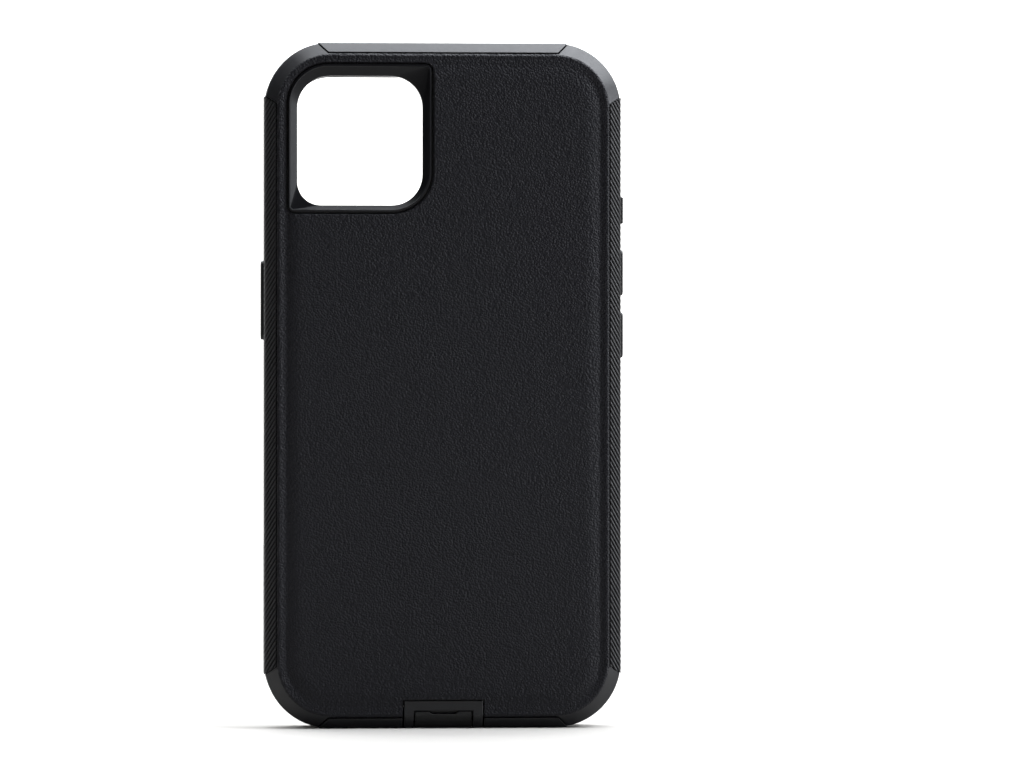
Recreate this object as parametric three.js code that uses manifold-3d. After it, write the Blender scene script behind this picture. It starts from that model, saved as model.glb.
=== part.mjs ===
// A rugged phone case. A hard back shell and a hard front frame close round the phone, and a thick soft
// cover with inlaid grips goes over them. Separate buttons press the phone's own, and small hinged covers
// close the mute switch and the charging port.
// Millimetres, +Z up. The case stands upright on its lower end: its back faces -Y and its screen side +Y.
// The origin is on the floor at the middle of the lower end.
import * as THREE from 'three';
import { ConvexGeometry } from 'three/addons/geometries/ConvexGeometry.js';
import { mergeVertices } from 'three/addons/utils/BufferGeometryUtils.js';
import Module from 'manifold-3d';

const wasm = await Module();
wasm.setup();

// ---------- driving dimensions ----------

const CASE = { width: 84, height: 161, depth: 14.6, radius: 15.5 };
const PHONE = { width: 71.5, height: 146.7, depth: 7.65, radius: 9.3 };
const PHONE_GAP = 0.25; // between the phone's edges and the hard shell
const SHELL_WALL = 1.6;
const LAYER_GAP = 0.2; // between the hard shell and the soft cover
const SEAM = 0.35; // the visible gap round each inlaid piece
const CORNER_STEPS = 8; // straight stretches in a rounded corner
const BEYOND = 1; // how far a cutting solid reaches past what it cuts

// thicknesses through the depth of the case, from its back to its front
const COVER_BACK = 1.6;
const SHELL_BACK = 1.3;
const LINER = { width: 68, height: 143, radius: 8, thickness: 0.6, gap: 0.1, cameraMargin: 1.4 };
const PHONE_BACK_GAP = 0.05;
const PHONE_FRONT_GAP = 0.1;
const BEZEL = 1.9;

// sloping faces round the back and the front
const BACK_CHAMFER = { inset: 3.2, depth: 2.7 };
const FRONT_CHAMFER = { inset: 1.4, depth: 1 };
const SHELL_CHAMFER = 1.1;
const FRAME_CHAMFER = 0.4;

// the shallow valley between the back panel's rim and its raised middle
const RIM_DROP = 0.2; // the rim's level, measured in from the raised middle
const VALLEY = { drop: 0.45, inset: 5.1, middleInset: 8.2 };

// inlaid strips: the distance that they reach in from the outline, and half their inner and outer lengths
const SIDE_STRIP = { inset: 3, innerHalf: 65.9, outerHalf: 67.8 };
const END_STRIP = { inset: 2.8, innerHalf: 27, outerHalf: 29.4 };
const STRIP = { thickness: 0.9, bond: 0.2, frontY: 4.6 };

// the camera opening, seen from the back
const CAMERA_HOLE = { left: -34.3, right: -4.9, bottom: 122.7, top: 153 };
const CAMERA_HOLE_RADII = { topLeft: 7.3, topRight: 7.3, bottomRight: 7.3, bottomLeft: 5.5 };
const CAMERA_WINDOW = { left: -36.9, right: -2.5, bottom: 120.7, top: 156.1 };
const CAMERA_WINDOW_RADII = { topLeft: 9.8, topRight: 1.9, bottomRight: 9.8, bottomLeft: 1.9 };
const SURROUND = { seam: 0.4, edge: 0.45, recess: 0.1, funnelDepth: 1.8, skirtWall: 0.8 };

// buttons: a cap that stands proud, a flange that keeps it in the cover and a plunger through the shell
const BUTTON = { width: 4.4, radius: 1.2, proud: 0.8, gap: 0.3, edge: 0.3 };
const BUTTON_STEP = 2.2; // from the side of the case in to the step that the flange stops on
const FLANGE = { grow: 0.8, thickness: 0.8, gap: 0.2 };
const PLUNGER = { width: 2.2, shorter: 3, reach: 5.7, gap: 0.35 };
const BUTTON_Y = 0.4;
const POWER = { z: 100.5, length: 18.6 };
const VOLUME_UP = { z: 107.1, length: 10.8 };
const VOLUME_DOWN = { z: 92.4, length: 10.8 };

// the mute switch's hinged cover, with its distances measured from the middle of its place in the side
const MUTE = { z: 121.8, length: 6.3, plate: 1.4, backY: -2.2, hingeY: 1.5 };
const MUTE_BOSS = { backY: -1.3, frontY: -0.1, length: 3.8, depth: 1.6 };
const MUTE_SLOT = { backY: -2.4, frontY: 0.9, length: 5.4 };

// the charging port: a hard surround, a hinged flap with a boss, and the opening for the plug
const PORT = { half: 9.25, top: 6.5, frontY: 5.4 };
const FLAP = { half: 6.7, top: 4, thickness: 1.4, recess: 0.1, hingeY: 4.1, gap: 0.3 };
const FLAP_NOTCH = { half: 3.45, depth: 0.6 };
const FLAP_BOSS = { half: 4.2, backY: -0.9, frontY: 1.7, top: 3.4 };
const PLUG_OPENING = { half: 6.2, backY: -2.9, frontY: 3.7 };
const SPEAKER_SLOT = { near: 11, far: 22.6, backY: -0.9, frontY: 1.7, scoop: 0.25 };

// the cover's bead that grips the back shell, and the front frame's tongues that drop into it
const BEAD = { height: 0.4, backY: -3.4, frontY: -2.4, clearance: 0.25 };
const TONGUE = { width: 8, thickness: 0.7, reach: 2, gap: 0.3 };
const SIDE_TONGUES_Z = [34, 70, 136];
const TOP_TONGUES_X = [-14, 14];

const SCREEN_WINDOW = { halfWidth: 34.6, halfHeight: 72.9, radius: 7.6, slope: 0.8 };

// ---------- places that follow from them ----------

const HALF_WIDTH = CASE.width / 2;
const MIDDLE_Z = CASE.height / 2;
const BACK_Y = -CASE.depth / 2;
const FRONT_Y = CASE.depth / 2;
const RIM_Y = BACK_Y + RIM_DROP;
const COVER_FLOOR_Y = BACK_Y + COVER_BACK;
const SHELL_BACK_Y = COVER_FLOOR_Y + LAYER_GAP;
const SHELL_FLOOR_Y = SHELL_BACK_Y + SHELL_BACK;
const LINER_Y = SHELL_FLOOR_Y + LINER.gap;
const PHONE_Y = LINER_Y + LINER.thickness + PHONE_BACK_GAP;
const BEZEL_Y = PHONE_Y + PHONE.depth + PHONE_FRONT_GAP;
const PARTING_Y = 1; // where the back shell's walls end
const FRAME_Y = PARTING_Y + LAYER_GAP;
const FLANGE_X = BUTTON_STEP + FLANGE.gap; // in from the side of the case

// ---------- outlines in X and Z: lists of corners of a convex shape ----------

function arc(x, z, radius, quarter) {
  const from = (quarter * Math.PI) / 2;
  return new THREE.EllipseCurve(x, z, radius, radius, from, from + Math.PI / 2).getPoints(CORNER_STEPS);
}

function roundedBox({ left, right, bottom, top }, { topLeft, topRight, bottomRight, bottomLeft }) {
  return [
    ...arc(right - topRight, top - topRight, topRight, 0),
    ...arc(left + topLeft, top - topLeft, topLeft, 1),
    ...arc(left + bottomLeft, bottom + bottomLeft, bottomLeft, 2),
    ...arc(right - bottomRight, bottom + bottomRight, bottomRight, 3),
  ];
}

const evenRadii = (radius) =>
  ({ topLeft: radius, topRight: radius, bottomRight: radius, bottomLeft: radius });

// A box between four edges, and its corner radii, both grown by an even distance.
function grown({ left, right, bottom, top }, radii, by) {
  const entries = Object.entries(radii).map(([corner, radius]) => [corner, radius + by]);
  const edges = { left: left - by, right: right + by, bottom: bottom - by, top: top + by };
  return roundedBox(edges, Object.fromEntries(entries));
}

// The layers of the case are rounded rectangles round one middle.
function layerOutline({ halfWidth, halfHeight, radius }, inset) {
  const edges = {
    left: -halfWidth,
    right: halfWidth,
    bottom: MIDDLE_Z - halfHeight,
    top: MIDDLE_Z + halfHeight,
  };
  return grown(edges, evenRadii(radius), -inset);
}

const layer = (halfWidth, halfHeight, radius) => ({ halfWidth, halfHeight, radius });
const OUTSIDE = layer(HALF_WIDTH, MIDDLE_Z, CASE.radius);
const aroundPhone = (by) => layer(PHONE.width / 2 + by, PHONE.height / 2 + by, PHONE.radius + by);
const POCKET = aroundPhone(PHONE_GAP);
const SHELL = aroundPhone(PHONE_GAP + SHELL_WALL);
const CAVITY = aroundPhone(PHONE_GAP + SHELL_WALL + LAYER_GAP);

// ---------- solids ----------

// A closed geometry as a solid that can be joined and cut.
function solidOf(geometry) {
  geometry.deleteAttribute('normal');
  geometry.deleteAttribute('uv');
  const merged = mergeVertices(geometry);
  return new wasm.Manifold(new wasm.Mesh({
    numProp: 3,
    vertProperties: merged.attributes.position.array,
    triVerts: new Uint32Array(merged.index.array),
  }));
}

function geometryOf(solid) {
  const { vertProperties, triVerts } = solid.getMesh();
  const geometry = new THREE.BufferGeometry();
  geometry.setAttribute('position', new THREE.BufferAttribute(vertProperties, 3));
  geometry.setIndex(new THREE.BufferAttribute(triVerts, 1));
  return geometry;
}

const union = (solids) => solids.reduce((all, solid) => all.add(solid));
const cut = (solid, cutters) => cutters.reduce((rest, cutter) => rest.subtract(cutter), solid);

// The convex solid through a row of outlines, each at its own place in Y.
function formThrough(rings) {
  const points = rings.flatMap(([outline, y]) => outline.map(({ x, y: z }) => new THREE.Vector3(x, y, z)));
  return solidOf(new ConvexGeometry(points));
}

const plate = (outline, backY, frontY) => formThrough([[outline, backY], [outline, frontY]]);

function box([left, right], [backY, frontY], [bottom, top]) {
  const geometry = new THREE.BoxGeometry(right - left, frontY - backY, top - bottom);
  return solidOf(geometry.translate((left + right) / 2, (backY + frontY) / 2, (bottom + top) / 2));
}

// A round rod along X or Z about a point.
function rod(axis, radius, length, x, y, z) {
  const geometry = new THREE.CylinderGeometry(radius, radius, length, 16);
  if (axis === 'x') geometry.rotateZ(Math.PI / 2);
  else geometry.rotateX(Math.PI / 2);
  return solidOf(geometry.translate(x, y, z));
}

// A rounded rectangle in Y and Z made solid between places in X, with a size for each.
function blockThrough(sections) {
  const points = sections.flatMap(([x, width, length, radius]) => {
    const edges = { left: -width / 2, right: width / 2, bottom: -length / 2, top: length / 2 };
    return roundedBox(edges, evenRadii(radius)).map((point) => new THREE.Vector3(x, point.x, point.y));
  });
  return solidOf(new ConvexGeometry(points));
}

// ---------- the outside of the case ----------

// Where a chamfer meets the faces beside it once every face has moved inwards by an even distance.
function movedChamfer({ inset, depth }, offset) {
  const slope = Math.hypot(inset, depth);
  return {
    inset: inset + (offset * (slope - inset)) / depth,
    depth: depth + (offset * (slope - depth)) / inset,
  };
}

// The outside with its two chamfers and a flat back, moved inwards by an even distance.
function outsideForm(offset) {
  const back = movedChamfer(BACK_CHAMFER, offset);
  const front = movedChamfer(FRONT_CHAMFER, offset);
  return formThrough([
    [layerOutline(OUTSIDE, back.inset), RIM_Y + offset],
    [layerOutline(OUTSIDE, offset), RIM_Y + back.depth],
    [layerOutline(OUTSIDE, offset), FRONT_Y - front.depth],
    [layerOutline(OUTSIDE, front.inset), FRONT_Y - offset],
  ]);
}

// The raised middle of the back, which slopes down to the valley inside the rim.
function raisedMiddle() {
  return formThrough([
    [layerOutline(OUTSIDE, VALLEY.middleInset), BACK_Y],
    [layerOutline(OUTSIDE, VALLEY.inset), BACK_Y + VALLEY.drop],
  ]);
}

// The hollow inside the rim, down to the valley's floor.
function rimHollow() {
  const slope = (VALLEY.inset - BACK_CHAMFER.inset) / (VALLEY.drop - RIM_DROP);
  return formThrough([
    [layerOutline(OUTSIDE, BACK_CHAMFER.inset - slope * RIM_DROP), BACK_Y],
    [layerOutline(OUTSIDE, VALLEY.inset), BACK_Y + VALLEY.drop],
  ]);
}

// ---------- inlaid strips ----------

const SIDES = {
  left_grip: { strip: SIDE_STRIP, at: (along, inside) => [-HALF_WIDTH + inside, MIDDLE_Z + along] },
  right_grip: { strip: SIDE_STRIP, at: (along, inside) => [HALF_WIDTH - inside, MIDDLE_Z + along] },
  top_strip: { strip: END_STRIP, at: (along, inside) => [along, CASE.height - inside] },
  bottom_left_strip: { strip: END_STRIP, from: PORT.half + SEAM, at: (along, inside) => [-along, inside] },
  bottom_right_strip: { strip: END_STRIP, from: PORT.half + SEAM, at: (along, inside) => [along, inside] },
};

// The corners of a strip's area, seen from the back: its ends slant and it runs out past the outline.
function stripArea({ strip, from, at }, grow) {
  const slant = (strip.outerHalf - strip.innerHalf) / strip.inset;
  return [strip.inset + grow, -BEYOND].flatMap((inside) => {
    const half = strip.outerHalf - slant * inside + grow * Math.hypot(1, slant);
    const start = from === undefined ? -half : from - grow;
    return [at(start, inside), at(half, inside)].map(([x, z]) => new THREE.Vector2(x, z));
  });
}

const stripSpace = (side, grow) =>
  plate(stripArea(side, grow), BACK_Y - BEYOND, STRIP.frontY + grow);

const stripSolid = (side) =>
  outsideForm(0).intersect(stripSpace(side, 0)).subtract(outsideForm(STRIP.thickness));

const stripRecess = (side) =>
  stripSpace(side, SEAM).subtract(outsideForm(STRIP.thickness + STRIP.bond));

// ---------- buttons, each built about its own place on the side with +X pointing out ----------

function buttonSolid(length) {
  const { width, radius, proud, edge } = BUTTON;
  const cap = blockThrough([
    [-FLANGE_X, width, length, radius],
    [proud - edge, width, length, radius],
    [proud, width - 2 * edge, length - 2 * edge, radius - edge],
  ]);
  const flangeSize = [width + 2 * FLANGE.grow, length + 2 * FLANGE.grow, radius];
  const flange = blockThrough([[-FLANGE_X - FLANGE.thickness, ...flangeSize], [-FLANGE_X, ...flangeSize]]);
  const plungerSize = [PLUNGER.width, length - PLUNGER.shorter, PLUNGER.width / 3];
  const plunger = blockThrough([[-PLUNGER.reach, ...plungerSize], [-FLANGE_X, ...plungerSize]]);
  return union([cap, flange, plunger]);
}

// The hole for a cap and the wider pocket behind it for the flange.
function buttonHole(length) {
  const grow = BUTTON.gap;
  const capSize = [BUTTON.width + 2 * grow, length + 2 * grow, BUTTON.radius + grow];
  const mouth = blockThrough([[-BUTTON_STEP - BEYOND, ...capSize], [BEYOND, ...capSize]]);
  const side = FLANGE.grow + grow;
  const pocketSize = [BUTTON.width + 2 * side, length + 2 * side, BUTTON.radius + grow];
  const innerX = CAVITY.halfWidth - HALF_WIDTH - BEYOND;
  const pocket = blockThrough([[innerX, ...pocketSize], [-BUTTON_STEP, ...pocketSize]]);
  return mouth.add(pocket);
}

function plungerHole(length) {
  const { width, shorter, gap } = PLUNGER;
  const size = [width + 2 * gap, length - shorter + 2 * gap, width / 3];
  return blockThrough([[POCKET.halfWidth - HALF_WIDTH - BEYOND, ...size], [-FLANGE_X, ...size]]);
}

// Puts something built about a button's place onto the right or the left side.
function onSide(solid, z, side) {
  const geometry = geometryOf(solid).rotateZ(side > 0 ? 0 : Math.PI);
  return solidOf(geometry.translate(side * HALF_WIDTH, BUTTON_Y, z));
}

const BUTTONS = [{ ...POWER, side: -1 }, { ...VOLUME_UP, side: 1 }, { ...VOLUME_DOWN, side: 1 }];
const onButtons = (make) => BUTTONS.map(({ z, length, side }) => onSide(make(length), z, side));

// ---------- the mute switch's cover, built about its own place ----------

const MUTE_HINGE_X = BUTTON.proud - MUTE.plate / 2;

function muteCoverSolid() {
  const half = MUTE.length / 2;
  const inner = BUTTON.proud - MUTE.plate;
  const lid = box([inner, BUTTON.proud], [MUTE.backY, MUTE.hingeY], [-half, half]);
  const knuckle = rod('z', MUTE.plate / 2, MUTE.length, MUTE_HINGE_X, MUTE.hingeY, 0);
  const bossHalf = MUTE_BOSS.length / 2;
  const bossXs = [inner - MUTE_BOSS.depth, inner];
  const boss = box(bossXs, [MUTE_BOSS.backY, MUTE_BOSS.frontY], [-bossHalf, bossHalf]);
  return union([lid, knuckle, boss]);
}

// The shallow seat for the lid, and the slot through to the switch.
function muteSeat() {
  const half = MUTE.length / 2 + BUTTON.gap;
  const frontY = MUTE.hingeY + MUTE.plate / 2 + BUTTON.gap;
  const depth = BUTTON.proud - MUTE.plate - BUTTON.gap;
  return box([depth, BEYOND], [MUTE.backY - BUTTON.gap, frontY], [-half, half]);
}

function muteSlot() {
  const half = MUTE_SLOT.length / 2;
  const innerX = POCKET.halfWidth - HALF_WIDTH - BEYOND;
  return box([innerX, 0], [MUTE_SLOT.backY, MUTE_SLOT.frontY], [-half, half]);
}

// ---------- openings that several pieces share ----------

const plugOpening = () =>
  box([-PLUG_OPENING.half, PLUG_OPENING.half], [PLUG_OPENING.backY, PLUG_OPENING.frontY], [BEYOND, 8]);

function speakerSlots() {
  const { near, far, backY, frontY, scoop } = SPEAKER_SLOT;
  return [[near, far], [-far, -near]].map((across) => {
    const slot = box(across, [backY, frontY], [-BEYOND, 8]);
    return slot.add(box(across, [BACK_Y, FRONT_Y], [-BEYOND, scoop]));
  });
}

function portSpace(grow) {
  const half = PORT.half + grow;
  return box([-half, half], [BACK_Y - BEYOND, PORT.frontY + grow], [-BEYOND, PORT.top + grow]);
}

const cavityForm = () => formThrough([
  [layerOutline(CAVITY, SHELL_CHAMFER), COVER_FLOOR_Y],
  [layerOutline(CAVITY, 0), COVER_FLOOR_Y + SHELL_CHAMFER],
  [layerOutline(CAVITY, 0), FRONT_Y + BEYOND],
]);

// ---------- the soft cover ----------

function bead() {
  const outer = plate(layerOutline(CAVITY, -BEAD.height), BEAD.backY, BEAD.frontY);
  return outer.subtract(plate(layerOutline(CAVITY, BEAD.height), BEAD.backY - BEYOND, BEAD.frontY + BEYOND));
}

function outerCover() {
  const block = formThrough([
    [layerOutline(OUTSIDE, BACK_CHAMFER.inset), BACK_Y],
    [layerOutline(OUTSIDE, BACK_CHAMFER.inset), RIM_Y],
  ]).add(outsideForm(0));
  const body = block.subtract(rimHollow()).add(raisedMiddle()).subtract(cavityForm()).add(bead());
  const cameraWindow = plate(roundedBox(CAMERA_WINDOW, CAMERA_WINDOW_RADII), BACK_Y - BEYOND, COVER_FLOOR_Y);
  return cut(body, [
    cameraWindow,
    portSpace(SEAM),
    ...Object.values(SIDES).map(stripRecess),
    ...onButtons(buttonHole),
    onSide(muteSeat().add(muteSlot()), MUTE.z, 1),
    ...speakerSlots(),
  ]);
}

// ---------- the strips ----------

function grip(name) {
  const holes = [...onButtons(buttonHole), onSide(muteSeat(), MUTE.z, 1)];
  return cut(stripSolid(SIDES[name]), holes);
}

const endStrip = (name) => cut(stripSolid(SIDES[name]), speakerSlots());

// ---------- the hard shell ----------

const shellOpenings = () => [
  ...onButtons(plungerHole),
  onSide(muteSlot(), MUTE.z, 1),
  plugOpening(),
  ...speakerSlots(),
];

// Blocks just inside the shell's walls: the front frame's tongues, or with a gap the recesses for them.
function tongueBlocks(gap) {
  const half = TONGUE.width / 2 + gap;
  const depths = [FRAME_Y - TONGUE.reach - gap, FRAME_Y + LAYER_GAP];
  const outer = TONGUE.thickness + gap;
  const sides = SIDE_TONGUES_Z.flatMap((z) => [
    box([POCKET.halfWidth, POCKET.halfWidth + outer], depths, [z - half, z + half]),
    box([-POCKET.halfWidth - outer, -POCKET.halfWidth], depths, [z - half, z + half]),
  ]);
  const pocketTop = MIDDLE_Z + POCKET.halfHeight;
  const ends = TOP_TONGUES_X.map((x) => box([x - half, x + half], depths, [pocketTop, pocketTop + outer]));
  return [...sides, ...ends];
}

function beadGroove() {
  const ys = [BEAD.backY - BEAD.clearance, BEAD.frontY + BEAD.clearance];
  const outer = plate(layerOutline(SHELL, -BEYOND), ...ys);
  return outer.subtract(plate(layerOutline(SHELL, BEAD.height), BACK_Y, FRONT_Y));
}

const cameraHole = (grow, backY, frontY) =>
  plate(grown(CAMERA_HOLE, CAMERA_HOLE_RADII, grow), backY, frontY);

function backShell() {
  const body = formThrough([
    [layerOutline(SHELL, SHELL_CHAMFER), SHELL_BACK_Y],
    [layerOutline(SHELL, 0), SHELL_BACK_Y + SHELL_CHAMFER],
    [layerOutline(SHELL, 0), PARTING_Y],
  ]);
  return cut(body, [
    plate(layerOutline(POCKET, 0), SHELL_FLOOR_Y, FRONT_Y),
    beadGroove(),
    cameraHole(SURROUND.skirtWall + LAYER_GAP, BACK_Y, SHELL_FLOOR_Y + LAYER_GAP),
    ...shellOpenings(),
    ...tongueBlocks(TONGUE.gap),
  ]);
}

function frontFrame() {
  const frontY = BEZEL_Y + BEZEL;
  const body = formThrough([
    [layerOutline(SHELL, 0), FRAME_Y],
    [layerOutline(SHELL, 0), frontY - FRAME_CHAMFER],
    [layerOutline(SHELL, FRAME_CHAMFER), frontY],
  ]);
  const screenWindow = formThrough([
    [layerOutline(SCREEN_WINDOW, 0), BEZEL_Y - BEYOND],
    [layerOutline(SCREEN_WINDOW, 0), BEZEL_Y],
    [layerOutline(SCREEN_WINDOW, -SCREEN_WINDOW.slope), frontY],
  ]);
  const pocket = plate(layerOutline(POCKET, 0), BACK_Y, BEZEL_Y);
  const ring = cut(body, [pocket, screenWindow, ...shellOpenings()]);
  return union([ring, ...tongueBlocks(0)]);
}

function foamLiner() {
  const outline = layerOutline(layer(LINER.width / 2, LINER.height / 2, LINER.radius), 0);
  const sheet = plate(outline, LINER_Y, LINER_Y + LINER.thickness);
  return sheet.subtract(cameraHole(LINER.cameraMargin, BACK_Y, FRONT_Y));
}

// ---------- the camera surround: a funnel with its skirt down through the shell ----------

function cameraSurround() {
  const backY = BACK_Y + SURROUND.recess;
  const flange = plate(grown(CAMERA_WINDOW, CAMERA_WINDOW_RADII, -SURROUND.seam), backY, COVER_FLOOR_Y);
  const skirt = cameraHole(SURROUND.skirtWall, COVER_FLOOR_Y, SHELL_FLOOR_Y);
  const funnel = formThrough([
    [grown(CAMERA_WINDOW, CAMERA_WINDOW_RADII, -SURROUND.seam - SURROUND.edge), backY],
    [grown(CAMERA_HOLE, CAMERA_HOLE_RADII, 0), backY + SURROUND.funnelDepth],
  ]);
  return cut(flange.add(skirt), [funnel, cameraHole(0, BACK_Y, FRONT_Y)]);
}

// ---------- the charging port ----------

// A skin just inside the outside of the case, round the port's flap.
function flapSkin(grow, outer, inner) {
  const half = FLAP.half + grow;
  const frontY = FLAP.hingeY + (grow ? FLAP.thickness / 2 + grow : 0);
  const space = box([-half, half], [BACK_Y - BEYOND, frontY], [-BEYOND, FLAP.top + grow]);
  const skin = outer === undefined ? space : space.intersect(outsideForm(outer));
  return skin.subtract(outsideForm(inner));
}

function portSurround() {
  const body = outsideForm(0).intersect(portSpace(0)).subtract(cavityForm());
  const seat = flapSkin(FLAP.gap, undefined, FLAP.recess + FLAP.thickness + FLAP.gap);
  return cut(body, [seat, plugOpening()]);
}

// A nail notch in the flap's upper edge, with slanted ends.
function flapNotch() {
  const { half, depth } = FLAP_NOTCH;
  const corners = [-1, 1].flatMap((side) => [
    new THREE.Vector2(side * (half - depth), FLAP.top - depth),
    new THREE.Vector2(side * (half + depth), FLAP.top + depth),
  ]);
  return plate(corners, BACK_Y - BEYOND, COVER_FLOOR_Y + BEYOND);
}

function portFlap() {
  const inner = FLAP.recess + FLAP.thickness;
  const skin = flapSkin(0, FLAP.recess, inner).subtract(flapNotch());
  const hingeZ = FLAP.recess + FLAP.thickness / 2;
  const knuckle = rod('x', FLAP.thickness / 2, 2 * FLAP.half, 0, FLAP.hingeY, hingeZ);
  const { half, backY, frontY, top } = FLAP_BOSS;
  return union([skin, knuckle, box([-half, half], [backY, frontY], [inner - FLAP.recess, top])]);
}

// ---------- the scene graph ----------

const softPlastic = (color, roughness) => new THREE.MeshStandardMaterial({ color, roughness, metalness: 0 });
const COVER_MATERIAL = softPlastic(0x232327, 0.78);
const GRIP_MATERIAL = softPlastic(0x1c1c1e, 0.7);
const HARD_MATERIAL = softPlastic(0x1e1e20, 0.42);
const BUTTON_MATERIAL = softPlastic(0x1a1a1b, 0.65);
const FOAM_MATERIAL = softPlastic(0x2c2c2e, 0.95);

function meshOf(name, solid, material) {
  const geometry = geometryOf(solid);
  geometry.computeVertexNormals();
  const mesh = new THREE.Mesh(geometry, material);
  mesh.name = name;
  return mesh;
}

// A piece of one side, turned to face out and set at its height.
function sideMesh(name, solid, z, side) {
  const mesh = meshOf(name, solid, BUTTON_MATERIAL);
  mesh.position.set(side * HALF_WIDTH, BUTTON_Y, z);
  mesh.rotation.z = side > 0 ? 0 : Math.PI;
  return mesh;
}

const cover = new THREE.Group();
cover.add(
  meshOf('outer_cover', outerCover(), COVER_MATERIAL),
  meshOf('left_grip', grip('left_grip'), GRIP_MATERIAL),
  meshOf('right_grip', grip('right_grip'), GRIP_MATERIAL),
  meshOf('top_strip', endStrip('top_strip'), COVER_MATERIAL),
  meshOf('bottom_left_strip', endStrip('bottom_left_strip'), COVER_MATERIAL),
  meshOf('bottom_right_strip', endStrip('bottom_right_strip'), COVER_MATERIAL),
);

const shell = new THREE.Group();
shell.add(
  meshOf('back_shell', backShell(), HARD_MATERIAL),
  meshOf('front_frame', frontFrame(), HARD_MATERIAL),
  meshOf('foam_liner', foamLiner(), FOAM_MATERIAL),
  meshOf('camera_surround', cameraSurround(), HARD_MATERIAL),
  meshOf('port_surround', portSurround(), HARD_MATERIAL),
);

const controls = new THREE.Group();
controls.add(
  sideMesh('power_button', buttonSolid(POWER.length), POWER.z, -1),
  sideMesh('volume_up_button', buttonSolid(VOLUME_UP.length), VOLUME_UP.z, 1),
  sideMesh('volume_down_button', buttonSolid(VOLUME_DOWN.length), VOLUME_DOWN.z, 1),
  sideMesh('mute_switch_cover', muteCoverSolid(), MUTE.z, 1),
  meshOf('charging_port_cover', portFlap(), BUTTON_MATERIAL),
);

const phoneCase = new THREE.Group();
phoneCase.add(cover, shell, controls);

export default phoneCase;
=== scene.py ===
import math

import bmesh
import bpy
from mathutils import Matrix, Vector


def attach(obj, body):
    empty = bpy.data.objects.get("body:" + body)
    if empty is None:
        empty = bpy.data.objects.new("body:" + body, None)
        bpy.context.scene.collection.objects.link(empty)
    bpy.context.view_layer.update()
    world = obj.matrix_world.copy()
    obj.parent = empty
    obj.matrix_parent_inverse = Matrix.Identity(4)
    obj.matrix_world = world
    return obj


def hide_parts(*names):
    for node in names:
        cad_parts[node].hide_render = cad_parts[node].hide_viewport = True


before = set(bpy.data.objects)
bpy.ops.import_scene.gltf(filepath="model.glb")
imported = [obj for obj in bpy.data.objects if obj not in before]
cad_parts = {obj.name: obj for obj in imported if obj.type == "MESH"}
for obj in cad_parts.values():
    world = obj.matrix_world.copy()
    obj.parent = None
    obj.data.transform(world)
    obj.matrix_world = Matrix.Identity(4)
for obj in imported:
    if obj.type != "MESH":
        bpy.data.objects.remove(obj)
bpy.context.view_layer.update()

# ---- Outer cover -----------------------------------------------------------------------------------------
# One soft moulding that wraps the hard shell: a grained back panel with a raised rim, four smooth thick
# corners and a lip round the screen. It is moulded in one shot of thermoplastic rubber, with recesses for
# the grips and strips and windows for the camera surround and the charging port, and it is stretched on.

HALF_WIDTH, HALF_LENGTH, CORNER = 42.0, 80.5, 15.5
MIDDLE_Z = HALF_LENGTH
SEAM = 0.35
ROUND_STEPS = 16


def hoop(bm, left, right, bottom, top, radii, y):
    """An edge loop in the outline of a rounded rectangle that stands across Y; radii run from the
    lower left corner round by the lower right."""
    before = set(bm.verts)
    corners = [(left, bottom), (right, bottom), (right, top), (left, top)]
    verts = [bm.verts.new((x, y, z)) for x, z in corners]
    bm.faces.new(verts)
    for vert, radius in zip(verts, radii):
        bmesh.ops.bevel(bm, geom=[vert], offset=radius, offset_type="OFFSET", segments=ROUND_STEPS,
                        profile=0.5, affect="VERTICES", material=-1)
    fresh = [v for v in bm.verts if v not in before]
    face = fresh[0].link_faces[0]
    edges = list(face.edges)
    bmesh.ops.delete(bm, geom=[face], context="FACES_ONLY")
    return edges


def ring(bm, half_x, half_z, radius, y):
    """A hoop about the middle of the case."""
    return hoop(bm, -half_x, half_x, MIDDLE_Z - half_z, MIDDLE_Z + half_z, [radius] * 4, y)


def skinned(bm, hoops, capped=True):
    """Bridges each hoop to the next, and closes the first and the last, or joins them to each other."""
    for one, two in zip(hoops, hoops[1:]):
        bmesh.ops.bridge_loops(bm, edges=one + two)
    if capped:
        bmesh.ops.edgeloop_fill(bm, edges=hoops[0])
        bmesh.ops.edgeloop_fill(bm, edges=hoops[-1])
    else:
        bmesh.ops.bridge_loops(bm, edges=hoops[-1] + hoops[0])
    bmesh.ops.recalc_face_normals(bm, faces=bm.faces[:])
    return bm


def combined(body, tool, operation="DIFFERENCE"):
    """One shape cut by another, joined to it or kept inside it."""
    objects = []
    for shape in (body, tool):
        mesh = bpy.data.meshes.new("shape")
        shape.to_mesh(mesh)
        shape.free()
        objects.append(bpy.data.objects.new("shape", mesh))
        bpy.context.collection.objects.link(objects[-1])
    cut = objects[0].modifiers.new("cut", "BOOLEAN")
    cut.object = objects[1]
    cut.operation = operation
    cut.solver = "EXACT"
    result = bmesh.new()
    result.from_object(objects[0], bpy.context.evaluated_depsgraph_get())
    for shape in objects:
        bpy.data.objects.remove(shape)
    return result


def prism(points, across):
    """A closed shape with that flat outline, drawn out by the vector across."""
    bm = bmesh.new()
    face = bm.faces.new([bm.verts.new(p) for p in points])
    drawn = bmesh.ops.extrude_face_region(bm, geom=[face])
    bmesh.ops.translate(bm, vec=across, verts=[g for g in drawn["geom"] if isinstance(g, bmesh.types.BMVert)])
    bmesh.ops.recalc_face_normals(bm, faces=bm.faces[:])
    return bm


def block(x, y, z):
    """A box between two limits each way."""
    return prism([(x[0], y[0], z[0]), (x[1], y[0], z[0]), (x[1], y[1], z[0]), (x[0], y[1], z[0])],
                 (0, 0, z[1] - z[0]))


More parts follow.
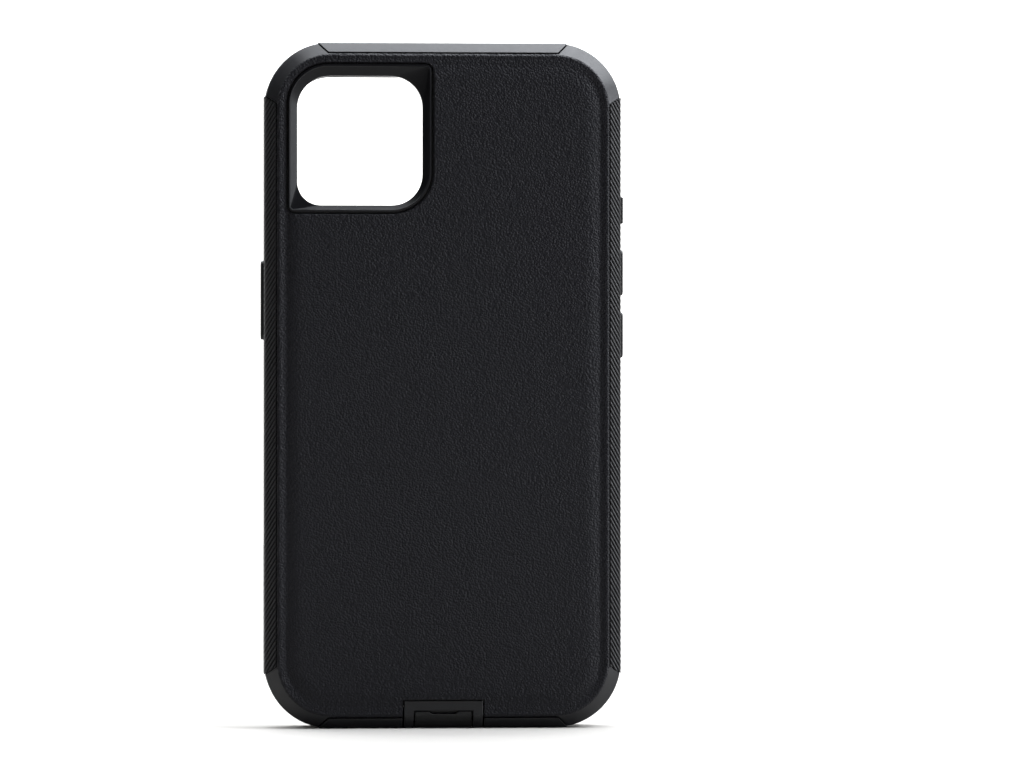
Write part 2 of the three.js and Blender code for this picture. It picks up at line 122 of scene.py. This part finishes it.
def softened(bm, width, segments=3, angle=30):
    """Rounds every edge that is sharper than the angle."""
    edges = [e for e in bm.edges if len(e.link_faces) == 2 and e.calc_face_angle() > math.radians(angle)]
    bmesh.ops.bevel(bm, geom=edges, offset=width, offset_type="OFFSET", segments=segments, profile=0.5,
                    affect="EDGES", clamp_overlap=True, material=-1)
    return bm


def finished(bm, name, node, body, slot, *materials, crease=38):
    """Turns a shape in millimetres into a piece of the case in metres, riding on its body; an edge that
    turns by more degrees than the crease stays sharp."""
    bmesh.ops.remove_doubles(bm, verts=bm.verts[:], dist=1e-5)
    bmesh.ops.scale(bm, vec=(0.001, 0.001, 0.001), verts=bm.verts[:])
    for face in bm.faces:
        face.smooth = True
    for edge in bm.edges:
        edge.smooth = len(edge.link_faces) == 2 and edge.calc_face_angle(0) < math.radians(crease)
    mesh = bpy.data.meshes.new(name)
    bm.to_mesh(mesh)
    bm.free()
    for material in materials:
        mesh.materials.append(material)
    piece = bpy.data.objects.new(name, mesh)
    bpy.context.collection.objects.link(piece)
    piece.modifiers.new("flat_faces_stay_flat", "WEIGHTED_NORMAL").keep_sharp = True
    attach(piece, body)
    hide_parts(node)
    return piece


def moulded(name, colour, roughness, specular, grain_size=0.0, grain_depth=0.0, mottle=0.06):
    """A moulded plastic or rubber: a faint mottle in colour and gloss, and a pebbled or fine matte skin."""
    gloss_spread, skin_scale, skin_depth = 0.05, 9000.0, 0.00002
    material = bpy.data.materials.new(name)
    material.use_nodes = True
    nodes, links = material.node_tree.nodes, material.node_tree.links
    shader = nodes["Principled BSDF"]
    shader.inputs["Specular IOR Level"].default_value = specular
    place = nodes.new("ShaderNodeTexCoord")

    def noise(scale, detail):
        texture = nodes.new("ShaderNodeTexNoise")
        texture.inputs["Scale"].default_value = scale
        texture.inputs["Detail"].default_value = detail
        links.new(place.outputs["Object"], texture.inputs["Vector"])
        return texture

    cloud = noise(260.0, 4.0)
    tint = nodes.new("ShaderNodeValToRGB")
    tint.color_ramp.elements[0].position = 0.3
    tint.color_ramp.elements[1].position = 0.7
    tint.color_ramp.elements[0].color = (*[c * (1 - mottle) for c in colour], 1)
    tint.color_ramp.elements[1].color = (*[c * (1 + mottle) for c in colour], 1)
    links.new(cloud.outputs["Fac"], tint.inputs["Fac"])
    links.new(tint.outputs["Color"], shader.inputs["Base Color"])
    gloss = nodes.new("ShaderNodeMapRange")
    gloss.inputs["To Min"].default_value = roughness - gloss_spread
    gloss.inputs["To Max"].default_value = roughness + gloss_spread
    links.new(noise(900.0, 2.0).outputs["Fac"], gloss.inputs["Value"])
    links.new(gloss.outputs["Result"], shader.inputs["Roughness"])

    skin = nodes.new("ShaderNodeBump")
    skin.inputs["Strength"].default_value = 0.35
    skin.inputs["Distance"].default_value = skin_depth
    links.new(noise(skin_scale, 2.0).outputs["Fac"], skin.inputs["Height"])
    last = skin
    if grain_size:
        pebbles = nodes.new("ShaderNodeTexVoronoi")
        pebbles.feature = "SMOOTH_F1"
        pebbles.inputs["Scale"].default_value = 1.0 / grain_size
        pebbles.inputs["Smoothness"].default_value = 0.6
        links.new(place.outputs["Object"], pebbles.inputs["Vector"])
        grain = nodes.new("ShaderNodeBump")
        grain.invert = True
        grain.inputs["Strength"].default_value = 1.0
        grain.inputs["Distance"].default_value = grain_depth
        links.new(pebbles.outputs["Distance"], grain.inputs["Height"])
        links.new(skin.outputs["Normal"], grain.inputs["Normal"])
        last = grain
    links.new(last.outputs["Normal"], shader.inputs["Normal"])
    return material


GRAINED = moulded("cover_grained", (0.0034, 0.0034, 0.0052), 0.52, 0.17,
                  grain_size=0.00045, grain_depth=0.0002)
SMOOTH_RUBBER = moulded("cover_smooth", (0.0050, 0.0050, 0.0062), 0.36, 0.27)

# The back chamfer starts at RIM_Y, inset by these at the sides and at the ends, and is CHAMFER deep.
RIM_SIDE, RIM_END, RIM_Y, CHAMFER = 3.3, 3.2, -7.1, 2.7
TIGHTEST_CORNER = 3.0
VALLEY_FADES_FROM, VALLEY_FADES_OVER, VALLEY_FADES_BY = 68.0, 7.0, 0.6
cover_profile = [
    # (inset at the sides, inset at the ends, place through the depth)
    (8.9, 8.9, -7.30), (8.2, 8.2, -7.28), (7.4, 7.4, -7.24), (6.4, 6.4, -7.08), (5.6, 5.6, -6.86),
    (5.25, 5.25, -6.79), (4.95, 4.95, -6.78), (4.5, 4.5, -6.87), (4.0, 3.95, -7.02), (3.7, 3.62, -7.08),
    (3.45, 3.35, -7.10), (3.3, 3.2, -7.06), (3.15, 3.05, -6.97), (3.0, 2.9, -6.85),
    (0.30, 0.28, -4.65), (0.12, 0.11, -4.44), (0.03, 0.03, -4.22), (0.0, 0.0, -3.90),
    (0.0, 0.0, 5.95), (0.05, 0.05, 6.15), (0.2, 0.2, 6.40), (0.9, 0.9, 6.94), (1.15, 1.15, 7.10),
    (1.45, 1.45, 7.22), (1.8, 1.8, 7.28), (3.6, 4.4, 7.30), (3.95, 4.8, 7.22), (4.15, 5.0, 7.0),
    (4.2, 5.1, 6.7), (4.2, 5.1, -4.6), (5.3, 6.2, -5.68), (6.3, 7.2, -5.70),
]
cover = bmesh.new()
hoops = []
for side, end, y in cover_profile:
    radius = max(CORNER - side, TIGHTEST_CORNER)
    hoops.append(ring(cover, HALF_WIDTH - side, HALF_LENGTH - end, radius, y))
    if 4.4 < side < 7.9 and y < -6:
        for vert in {v for e in hoops[-1] for v in e.verts}:
            # the valley inside the rim fades out along the two ends
            past = (abs(vert.co.z - MIDDLE_Z) - VALLEY_FADES_FROM) / VALLEY_FADES_OVER
            flat = min(1.0, max(0.0, past))
            vert.co.y -= VALLEY_FADES_BY * flat * (vert.co.y + 7.25)
skinned(cover, hoops)


def camera_outline(bm, grow, y, hole=False):
    """The camera window's outline, or the hole's, grown by some distance."""
    left, right, bottom, top = (-34.3, -4.9, 122.7, 153.0) if hole else (-36.9, -2.5, 120.7, 156.1)
    radii = (5.5, 7.3, 7.3, 7.6) if hole else (1.9, 9.8, 1.9, 9.8)
    return hoop(bm, left - grow, right + grow, bottom - grow, top + grow,
                [max(r + grow, 0.3) for r in radii], y)


window = bmesh.new()
window_profile = [
    (0.45, -9.0), (0.45, -7.16), (0.28, -7.13), (0.12, -7.03), (0.02, -6.88), (0.0, -6.6),
    (0.0, -5.7 + 0.001),
]
skinned(window, [camera_outline(window, grow, y) for grow, y in window_profile])
cover = combined(cover, window)


def chamfer_y(inset, rim, deeper=0.0):
    """Where the back chamfer lies at some inset, or a face that much deeper than it."""
    return RIM_Y + (rim - inset) * CHAMFER / rim + deeper * math.hypot(rim, CHAMFER) / rim


# Each inlaid strip: the rim's inset beside it, its own inset, and half its inner and outer lengths.
SIDE_STRIP = (RIM_SIDE, 2.65, 65.9, 67.8)
END_STRIP = (RIM_END, 2.4, 27.0, 29.4)
LAID = {
    "left_grip": (SIDE_STRIP, None, lambda s, along: (-HALF_WIDTH + s, MIDDLE_Z + along)),
    "right_grip": (SIDE_STRIP, None, lambda s, along: (HALF_WIDTH - s, MIDDLE_Z + along)),
    "top_strip": (END_STRIP, None, lambda s, along: (along, 2 * HALF_LENGTH - s)),
    "bottom_left_strip": (END_STRIP, 9.6, lambda s, along: (-along, s)),
    "bottom_right_strip": (END_STRIP, 9.6, lambda s, along: (along, s)),
}


def laid(bm, name):
    """Carries a shape drawn as inset, depth and distance along an edge to its own edge of the case."""
    for vert in bm.verts:
        x, z = LAID[name][2](vert.co.x, vert.co.z)
        vert.co = (x, vert.co.y, z)
    bm.normal_update()
    bmesh.ops.recalc_face_normals(bm, faces=bm.faces[:])
    return bm


def strip_block(name, grow, inner, outer=None, front=4.6, side=None):
    """A strip from its inner face out to its outer one, or out past the case, with its slanted ends; side is
    how deep it goes into the case's side where that differs from its depth in the chamfer."""
    side = inner if side is None else side
    (rim, inset, inner_half, outer_half), start, _ = LAID[name]
    deep = inset + grow
    back = [(deep, chamfer_y(deep, rim, outer)), (0.35, chamfer_y(0.35, rim, outer)),
            (0.08 + outer, -4.35), (outer, -3.95)] if outer is not None else [(deep, -9.5), (-2.0, -9.5)]
    edge = outer if outer is not None else -2.0
    profile = [*back, (edge, front + grow), (side, front + grow), (side, chamfer_y(side, rim, inner)),
               (deep, chamfer_y(deep, rim, inner))]
    bm = prism([(s, y, 0.0) for s, y in profile], (0, 0, 10))
    slant = (outer_half - inner_half) / inset
    for vert in bm.verts:
        half = outer_half - slant * vert.co.x + grow * math.hypot(1, slant)
        low = -half if start is None else start - grow
        vert.co.z = half if vert.co.z > 5 else low
    return laid(bm, name)


# Each recess has a shallow open seam round the strip.
for name in LAID:
    cover = combined(cover, strip_block(name, 0.02, 1.1))
    cover = combined(cover, strip_block(name, SEAM, 0.55, side=0.3))

port_notch = block((-9.6, 9.6), (-9, 5.75), (-1, 6.85))
cover = combined(cover, port_notch)

# Buttons on the sides: which side, middle height, length, and the hole left for each.
BUTTON_Y, BUTTON_WIDTH, BUTTON_PROUD = 0.4, 4.4, 0.8
BUTTONS = {
    "power_button": (-1, 100.5, 18.6),
    "volume_up_button": (1, 107.1, 10.8),
    "volume_down_button": (1, 92.4, 10.8),
}


def side_block(side, x_sizes, middle_z):
    """A rounded block along X on one side of the case, through sections of (x, width, length, radius)."""
    bm = bmesh.new()
    hoops = [hoop(bm, -w / 2, w / 2, -l / 2, l / 2, [r] * 4, x) for x, w, l, r in x_sizes]
    skinned(bm, hoops)
    for vert in bm.verts:
        x, y, z = vert.co.y, vert.co.x, vert.co.z
        vert.co = (side * (HALF_WIDTH + x), BUTTON_Y + side * y, middle_z + z)
    bm.normal_update()
    bmesh.ops.recalc_face_normals(bm, faces=bm.faces[:])
    return bm


def button_hole(name):
    """The hole for a button's cap, flared where it opens on the side."""
    side, z, length = BUTTONS[name]
    w, l, r = BUTTON_WIDTH + 0.3, length + 0.3, 1.35
    return side_block(side, [(-5.0, w, l, r), (-0.2, w, l, r), (-0.06, w + 0.06, l + 0.06, r),
                             (0.02, w + 0.24, l + 0.24, r), (2, w + 0.5, l + 0.5, r)], z)


for name in BUTTONS:
    cover = combined(cover, button_hole(name))
MUTE_Z = 121.8


def mute_seat(depth_x):
    """The seat of the mute switch's lid, from that far across and out past the side."""
    return block((depth_x, 44), (-2.1, 2.9), (MUTE_Z - 3.45, MUTE_Z + 3.45))


def mute_slot(inner_x):
    """The slot through the wall to the mute switch."""
    return block((inner_x, 42), (-2.0, 1.3), (MUTE_Z - 2.7, MUTE_Z + 2.7))


cover = combined(cover, mute_seat(41.1))
cover = combined(cover, mute_slot(36))


def speaker_slot(side):
    """The slot to the speaker or the microphone, up through the lower end."""
    bm = bmesh.new()
    skinned(bm, [hoop(bm, 11.0, 22.6, -0.9, 1.7, [1.25] * 4, z) for z in (-1, 9)])
    for vert in bm.verts:
        vert.co = (side * vert.co.x, vert.co.z, vert.co.y)
    bm.normal_update()
    bmesh.ops.recalc_face_normals(bm, faces=bm.faces[:])
    return bm


def scoop(side):
    """A shallow scoop across the lower edge at each slot."""
    outline = [(10.6, -1), (11.2, 0.25), (22.4, 0.25), (23.2, -1)]
    return prism([(side * x, -9, z) for x, z in outline], (0, 18, 0))


for side in (-1, 1):
    cover = combined(cover, speaker_slot(side))
    cover = combined(cover, scoop(side))

# The grain covers what faces back above this depth: the panel, its slopes and the top of the rim.
GRAIN_ABOVE, GRAIN_FACING = -0.0067, -0.75
cover_piece = finished(cover, "soft_cover", "outer_cover", "case", "soft_cover", SMOOTH_RUBBER, GRAINED)
for face in cover_piece.data.polygons:
    grained = face.center.y < GRAIN_ABOVE and face.normal.y < GRAIN_FACING
    face.material_index = 1 if grained else 0

# ---- Side grips -------------------------------------------------------------------------------------------
# A strip of firmer black rubber down each side, set into the cover's recess and bonded there. Its face is
# moulded with close diagonal ribs that run over the chamfer and on down the side of the case.

RIB_PITCH, RIB_HEIGHT, RIB_LEAN = 1.44, 0.42, 1.35
RIB_SHAPE = [0.0, 0.0, 0.6, 0.95, 1.0, 1.0, 0.95, 0.6]
RIB_SAMPLES = len(RIB_SHAPE)
GRIP_RUBBER = moulded("grip_rubber", (0.0045, 0.0045, 0.0055), 0.42, 0.3)


def ribbed_slab(rim, inset):
    """A thick sheet with diagonal ribs, bent over the edge between the chamfer and the side."""
    ribs, across, lowest = 112, 30, -73.5
    rows = ribs * RIB_SAMPLES
    bm = bmesh.new()
    bmesh.ops.create_grid(bm, x_segments=across, y_segments=rows, size=1.0)
    slope = math.hypot(rim, CHAMFER)
    start, past_bend, bend_width = inset + 1.2, 9.5, 0.9
    bend_at = start * slope / rim
    length = bend_at + past_bend
    path = [(start, chamfer_y(start, rim), 0.0)]
    flat_angle = math.atan2(CHAMFER, rim)
    for step in range(across):
        u = length * (step + 0.5) / across
        turn = min(1.0, max(0.0, (u - bend_at + 0.45) / bend_width))
        angle = flat_angle + turn * (math.pi / 2 - flat_angle)
        s, y, _ = path[-1]
        reach = length / across
        path[-1] = (s, y, angle)
        path.append((s - reach * math.cos(angle), y + reach * math.sin(angle), angle))
    for vert in bm.verts:
        i = round((vert.co.x + 1) / 2 * across)
        j = round((vert.co.y + 1) / 2 * rows)
        s, y, angle = path[i]
        height = RIB_HEIGHT * (RIB_SHAPE[j % RIB_SAMPLES] - 1.0)
        along = j * RIB_PITCH / RIB_SAMPLES - RIB_LEAN * (length * i / across - bend_at / 2) + lowest
        vert.co = (s - height * math.sin(angle), y - height * math.cos(angle), along)
    back = bmesh.ops.extrude_face_region(bm, geom=bm.faces[:])
    moved = [g for g in back["geom"] if isinstance(g, bmesh.types.BMVert)]
    bmesh.ops.translate(bm, vec=(1.7, 1.1, 0), verts=moved)
    bmesh.ops.recalc_face_normals(bm, faces=bm.faces[:])
    return bm


for name in ("left_grip", "right_grip"):
    slab = laid(ribbed_slab(RIM_SIDE, SIDE_STRIP[1]), name)
    grip = combined(slab, strip_block(name, 0.0, 0.9, -0.4), "INTERSECT")
    side = -1 if name == "left_grip" else 1
    for button in BUTTONS:
        if BUTTONS[button][0] == side:
            grip = combined(grip, button_hole(button))
    if side > 0:
        grip = combined(grip, mute_seat(40))
    finished(grip, name + "_ribbed", name, "case", "grip_rubber", GRIP_RUBBER)

# ---- End strips -------------------------------------------------------------------------------------------
# Smooth strips of the same rubber inlaid across the top and the bottom ends, with slanted ends that meet
# the cover's corners; the lower one is in two parts, either side of the charging port.

STRIP_RUBBER = moulded("strip_rubber", (0.0050, 0.0050, 0.0062), 0.34, 0.3)

for name in ("top_strip", "bottom_left_strip", "bottom_right_strip"):
    strip = softened(strip_block(name, 0.0, 0.9, 0.0), 0.14)
    if name != "top_strip":
        side = -1 if "left" in name else 1
        strip = combined(combined(strip, speaker_slot(side)), scoop(side))
    finished(strip, name + "_smooth", name, "case", "strip_soft", STRIP_RUBBER)

# ---- Hard back shell --------------------------------------------------------------------------------------
# The polycarbonate tray that holds the phone, moulded in black with a fine matte finish; the cover's bead
# snaps into a groove round its walls, and the front frame's tongues drop into pockets inside them.

HARD_PLASTIC = moulded("hard_plastic", (0.0100, 0.0100, 0.0110), 0.42, 0.5)


PHONE_HALF_WIDTH, PHONE_HALF_LENGTH, PHONE_CORNER = 35.75, 73.35, 9.3


def phone_ring(bm, grow, y):
    """A hoop round the phone's own outline, grown by some distance."""
    return ring(bm, PHONE_HALF_WIDTH + grow, PHONE_HALF_LENGTH + grow, PHONE_CORNER + grow, y)


shell = bmesh.new()
shell_profile = [
    (0.0, -5.5), (0.75, -5.48), (1.2, -5.1), (1.85, -4.4), (1.85, -3.67), (1.45, -3.65), (1.45, -2.15),
    (1.85, -2.13), (1.85, 0.9), (1.75, 0.98), (0.35, 1.0), (0.25, 0.9), (0.25, -3.9), (-0.05, -4.18),
    (-1.0, -4.2),
]
skinned(shell, [phone_ring(shell, grow, y) for grow, y in shell_profile])
hole = bmesh.new()
skinned(hole, [camera_outline(hole, 1.0, y, hole=True) for y in (-7, -3)])
shell = combined(shell, hole)


def plunger_hole(name):
    """The hole for a button's plunger through the hard wall."""
    side, z, length = BUTTONS[name]
    return side_block(side, [(-7.5, 2.9, length - 2.3, 0.73), (-2.4, 2.9, length - 2.3, 0.73)], z)


def port_opening():
    """The opening for the nose of a charging plug."""
    return block((-6.2, 6.2), (-2.9, 3.7), (1.0, 8.0))


def opened(shape):
    """Cuts the openings that the shell and the front frame share: buttons, mute switch, port and slots."""
    for name in BUTTONS:
        shape = combined(shape, plunger_hole(name))
    shape = combined(shape, mute_slot(35))
    shape = combined(shape, port_opening())
    for side in (-1, 1):
        shape = combined(shape, speaker_slot(side))
    return shape


shell = opened(shell)


def tongues(gap):
    """The blocks inside the walls where the front frame's tongues go."""
    spans = [(z, side) for z in (34, 70, 136) for side in (-1, 1)]
    blocks = []
    for z, side in spans:
        x = sorted((side * 36.0, side * (36.7 + gap)))
        blocks.append(block(x, (-0.8 - gap, 1.4), (z - 4 - gap, z + 4 + gap)))
    for x in (-14, 14):
        blocks.append(block((x - 4 - gap, x + 4 + gap), (-0.8 - gap, 1.4), (154.1, 154.8 + gap)))
    return blocks


for pocket in tongues(0.3):
    shell = combined(shell, pocket)
finished(shell, "hard_back_shell", "back_shell", "case", "hard_shell", HARD_PLASTIC)

# ---- Front frame ------------------------------------------------------------------------------------------
# The second hard moulding: a slim frame round the screen with a sloped inner edge. It drops into the back
# shell from the front, and eight tongues on its rear edge locate it.

front = bmesh.new()
front_profile = [
    (1.85, 1.25), (1.85, 5.75), (1.75, 6.0), (1.5, 6.2), (-0.15, 6.2), (-0.35, 6.1), (-1.1, 4.45),
    (-1.15, 4.32), (0.25, 4.3), (0.25, 1.25), (1.75, 1.2),
]
front_hoops = []
for grow, y in front_profile:
    ends = grow if grow > 0 else grow * 0.5
    radius = PHONE_CORNER + grow * 1.1
    front_hoops.append(ring(front, PHONE_HALF_WIDTH + grow, PHONE_HALF_LENGTH + ends, radius, y))
skinned(front, front_hoops, capped=False)
front = opened(front)
for tongue in tongues(0.0):
    front = combined(front, tongue, "UNION")
finished(front, "screen_frame", "front_frame", "front_frame", "hard_shell", HARD_PLASTIC)

# ---- Foam liner -------------------------------------------------------------------------------------------
# A thin sheet of closed-cell foam stuck inside the back shell, where the phone's back rests on it, with a
# corner cut away for the camera.

FOAM = moulded("liner_foam", (0.020, 0.020, 0.022), 0.9, 0.25,
               grain_size=0.0006, grain_depth=0.00008, mottle=0.15)
liner = bmesh.new()
liner_profile = [
    (1.0, -4.1), (0.12, -4.08), (0.0, -4.0), (0.0, -3.68), (0.06, -3.57), (0.2, -3.52), (1.2, -3.5),
]
skinned(liner, [ring(liner, 34.0 - inset, 71.5 - inset, 8.0 - inset, y) for inset, y in liner_profile])
hole = bmesh.new()
skinned(hole, [camera_outline(hole, 1.4, y, hole=True) for y in (-6, -2)])
liner_piece = finished(combined(liner, hole), "phone_liner", "foam_liner", "case", "foam", FOAM)

# ---- Camera surround --------------------------------------------------------------------------------------
# A hard gloss-moulded funnel round the camera opening: a thin rounded lip stands in the cover's window, and
# flat walls slope in to the hole, with a triangular facet where the lip's corner is tighter than the hole's.

TRIM_PLASTIC = moulded("camera_trim", (0.0030, 0.0030, 0.0038), 0.32, 0.15)
lip_profile = [
    (-0.42, -5.7), (-0.42, -7.0), (-0.48, -7.13), (-0.60, -7.18), (-0.78, -7.2), (-0.90, -7.13),
    (-1.0, -6.98),
]
throat_profile = [(0.12, -6.15), (0.0, -6.0), (0.0, -4.2), (0.8, -4.22), (0.8, -5.68)]
surround = bmesh.new()
surround_hoops = [camera_outline(surround, grow, y) for grow, y in lip_profile]
surround_hoops += [camera_outline(surround, grow, y, hole=True) for grow, y in throat_profile]
skinned(surround, surround_hoops, capped=False)
finished(surround, "camera_funnel", "camera_surround", "case", "camera_trim", TRIM_PLASTIC, crease=24)

# ---- Charging port surround -------------------------------------------------------------------------------
# A hard U-shaped frame in a notch in the cover's lower end; the port's flap lies in a seat in its middle.

PORT_PLASTIC = moulded("port_trim", (0.0060, 0.0060, 0.0068), 0.4, 0.3)


def end_profile(deeper, top, front_y, inner):
    """The section of the lower end as points of height and depth: its outer side moved inwards by some
    distance, from the top of the piece round to its front, and then the points of its inner side."""
    rim_z = RIM_END + deeper * 0.5
    outer = [(top, RIM_Y + deeper), (rim_z - 0.15, RIM_Y + deeper), (rim_z - 0.3, RIM_Y + 0.1 + deeper),
             (0.2 + deeper, chamfer_y(0.2, RIM_END) + 0.45 * deeper), (0.05 + deeper, -4.3),
             (deeper, -3.95), (deeper, front_y)]
    return outer + inner


port_section = end_profile(0.0, 6.5, 5.4, [(4.95, 5.4), (4.95, -4.5), (5.9, -5.7), (6.5, -5.7)])
port = prism([(-9.25, y, z) for z, y in port_section], (18.5, 0, 0))
port = softened(port, 0.16)
seat_section = [(4.3, -9), (-1, -9), (-1, 5.15), (1.8, 5.15), (1.8, -3.6), (3.69, -5.3), (4.3, -5.3)]
port = combined(port, prism([(-7.0, y, z) for z, y in seat_section], (14.0, 0, 0)))
port = combined(port, port_opening())
finished(port, "port_frame", "port_surround", "case", "port_trim", PORT_PLASTIC)

# ---- Charging port flap -----------------------------------------------------------------------------------
# A rubber flap that closes the port from below and wraps up over the back chamfer, with a nail notch in its
# upper edge and a boss that plugs the opening. It swings down about its front edge.

FLAP_RUBBER = moulded("flap_rubber", (0.0050, 0.0050, 0.0052), 0.5, 0.25)
flap_section = end_profile(0.08, 4.0, 4.1, [(1.5, 4.1), (1.5, -3.74), (3.57, -5.62), (4.0, -5.62)])
flap = prism([(-6.7, y, z) for z, y in flap_section], (13.4, 0, 0))
for vert in flap.verts:
    # one upper corner is cut back a little, as the flap's outline narrows there
    vert.co.x -= 0.25 * max(0.0, vert.co.x) / 6.7 * max(0.0, vert.co.z - 1.5) / 2.5
notch = prism([(-2.85, -9, 3.4), (2.85, -9, 3.4), (4.05, -9, 4.6), (-4.05, -9, 4.6)], (0, 5, 0))
flap = softened(combined(flap, notch), 0.15)
barrel = bmesh.new()
bmesh.ops.create_cone(barrel, cap_ends=True, segments=32, radius1=0.7, radius2=0.7, depth=13.4,
                      matrix=Matrix.Translation((0, 4.1, 0.8)) @ Matrix.Rotation(math.pi / 2, 4, "Y"))
flap = combined(flap, softened(barrel, 0.12), "UNION")
boss = softened(block((-4.2, 4.2), (-0.9, 1.7), (1.2, 3.4)), 0.3)
flap = combined(flap, boss, "UNION")
finished(flap, "port_flap", "charging_port_cover", "charging_port_cover", "flap_rubber", FLAP_RUBBER)

# ---- Buttons ----------------------------------------------------------------------------------------------
# Three rubber caps stand just proud of the sides: power on the left, the two volume buttons on the right.
# Each has a flange that keeps it in the cover and a plunger that presses the phone's own button.

BUTTON_RUBBER = moulded("button_rubber", (0.0040, 0.0040, 0.0044), 0.5, 0.3)

for name, (side, z, length) in BUTTONS.items():
    w, p = BUTTON_WIDTH, BUTTON_PROUD
    cap = side_block(side, [
        (-5.7, 2.2, length - 3, 0.73), (-3.22, 2.2, length - 3, 0.73), (-3.2, w + 1.6, length + 1.6, 1.2),
        (-2.42, w + 1.6, length + 1.6, 1.2), (-2.4, w, length, 1.2), (p - 0.45, w, length, 1.2),
        (p - 0.2, w - 0.1, length - 0.1, 1.15), (p - 0.08, w - 0.3, length - 0.3, 1.05),
        (p - 0.02, w - 0.7, length - 0.7, 0.9), (p, w - 1.4, length - 1.4, 0.6)], z)
    finished(cap, name + "_cap", name, name, "button_rubber", BUTTON_RUBBER)

# ---- Mute switch cover ------------------------------------------------------------------------------------
# A small rubber lid over the mute switch, above the volume buttons. It opens outwards about its front edge,
# and a boss on its inner face fills the slot to the switch.

lid = block((41.4, 42.8), (-1.8, 1.9), (MUTE_Z - 3.15, MUTE_Z + 3.15))
lid = softened(lid, 0.3)
barrel = bmesh.new()
bmesh.ops.create_cone(barrel, cap_ends=True, segments=32, radius1=0.7, radius2=0.7, depth=6.3,
                      matrix=Matrix.Translation((42.1, 1.9, MUTE_Z)))
lid = combined(lid, softened(barrel, 0.12), "UNION")
boss = softened(block((39.8, 41.6), (-0.9, 0.3), (MUTE_Z - 1.9, MUTE_Z + 1.9)), 0.2)
lid = combined(lid, boss, "UNION")
finished(lid, "mute_lid", "mute_switch_cover", "mute_switch_cover", "button_rubber", BUTTON_RUBBER)

# ---- Studio -----------------------------------------------------------------------------------------------
# A plain pale floor that runs back to a backlit white panel; broad soft boxes overhead, smaller ones on the
# right, two washes on the floor behind the case with a weak fill from the left, and a camera just left of
# square to the back of the case.


LIGHT_COLOUR = (0.92, 0.95, 1.0)
SHEET_TINT = (1.0, 0.97, 0.92)


def staged(name, corners, paleness, glow=0.0):
    """A flat sheet of the studio, which gives off its own light if glow is set."""
    bm = bmesh.new()
    bm.faces.new([bm.verts.new(corner) for corner in corners])
    mesh = bpy.data.meshes.new(name)
    bm.to_mesh(mesh)
    bm.free()
    material = bpy.data.materials.new(name)
    material.use_nodes = True
    shader = material.node_tree.nodes["Principled BSDF"]
    shader.inputs["Base Color"].default_value = (*[paleness * tint for tint in SHEET_TINT], 1)
    shader.inputs["Roughness"].default_value = 0.9
    shader.inputs["Specular IOR Level"].default_value = 0.0
    shader.inputs["Emission Color"].default_value = (1, 1, 1, 1)
    shader.inputs["Emission Strength"].default_value = glow
    mesh.materials.append(material)
    sheet = bpy.data.objects.new(name, mesh)
    bpy.context.collection.objects.link(sheet)


staged("pale_floor", [(-3, -3, 0), (3, -3, 0), (3, 1.3, 0), (-3, 1.3, 0)], 0.33)
staged("backlit_panel", [(-3, 1.3, 0), (3, 1.3, 0), (3, 1.3, 3), (-3, 1.3, 3)], 0.5, glow=1.15)


def soft_light(name, place, towards, size, power):
    """A soft box in metres and watts, turned towards a point."""
    light = bpy.data.lights.new(name, "AREA")
    light.shape = "RECTANGLE"
    light.size, light.size_y = size
    light.energy = power
    light.color = LIGHT_COLOUR
    lamp = bpy.data.objects.new(name, light)
    lamp.location = place
    lamp.rotation_euler = (Vector(towards) - Vector(place)).to_track_quat("-Z", "Y").to_euler()
    bpy.context.collection.objects.link(lamp)


soft_light("overhead_box", (0.0, -0.02, 0.95), (0, 0, 0.16), (0.8, 0.35), 9.5)
soft_light("second_overhead_box", (0.30, -0.08, 0.90), (0, 0, 0.16), (0.4, 0.4), 5)
soft_light("upper_right_box", (0.66, -0.12, 0.74), (0, 0, 0.12), (0.5, 0.5), 12)
soft_light("right_box", (0.95, -0.20, 0.20), (0, 0, 0.08), (0.3, 0.5), 7.0)
soft_light("front_right_box", (0.75, -0.50, 0.25), (0, 0, 0.08), (0.3, 0.5), 3.0)
soft_light("floor_wash", (0.0, 0.60, 1.0), (0, 0.35, 0.0), (2.6, 0.5), 38)
soft_light("far_floor_wash", (0.0, 1.12, 0.9), (0, 1.12, 0.0), (2.8, 0.3), 40)
soft_light("left_fill", (-0.80, 0.45, 0.30), (-0.04, 0, 0), (0.5, 0.3), 1.2)

world = bpy.data.worlds.new("studio_air")
world.use_nodes = True
world.node_tree.nodes["Background"].inputs["Color"].default_value = (1, 1, 1, 1)
world.node_tree.nodes["Background"].inputs["Strength"].default_value = 0.03
bpy.context.scene.world = world

DISTANCE, TURN, EYE_HEIGHT = 1.15, math.radians(-3.5), 0.0808
SENSOR, VIEW_WIDTH, VIEW_PLANE, SIDE_SHIFT = 36.0, 0.24094, 0.0030, 0.0685
lens = bpy.data.cameras.new("front_camera")
lens.sensor_width = SENSOR
lens.lens = SENSOR * (DISTANCE - VIEW_PLANE) / VIEW_WIDTH
lens.shift_x = SIDE_SHIFT
lens.clip_start = 0.05
camera = bpy.data.objects.new("front_camera", lens)
camera.location = (DISTANCE * math.sin(TURN), -DISTANCE * math.cos(TURN), EYE_HEIGHT)
camera.rotation_euler = (math.pi / 2, 0, TURN)
bpy.context.collection.objects.link(camera)
bpy.context.scene.camera = camera
bpy.context.scene.view_settings.view_transform = "Standard"
bpy.context.scene.view_settings.look = "None"
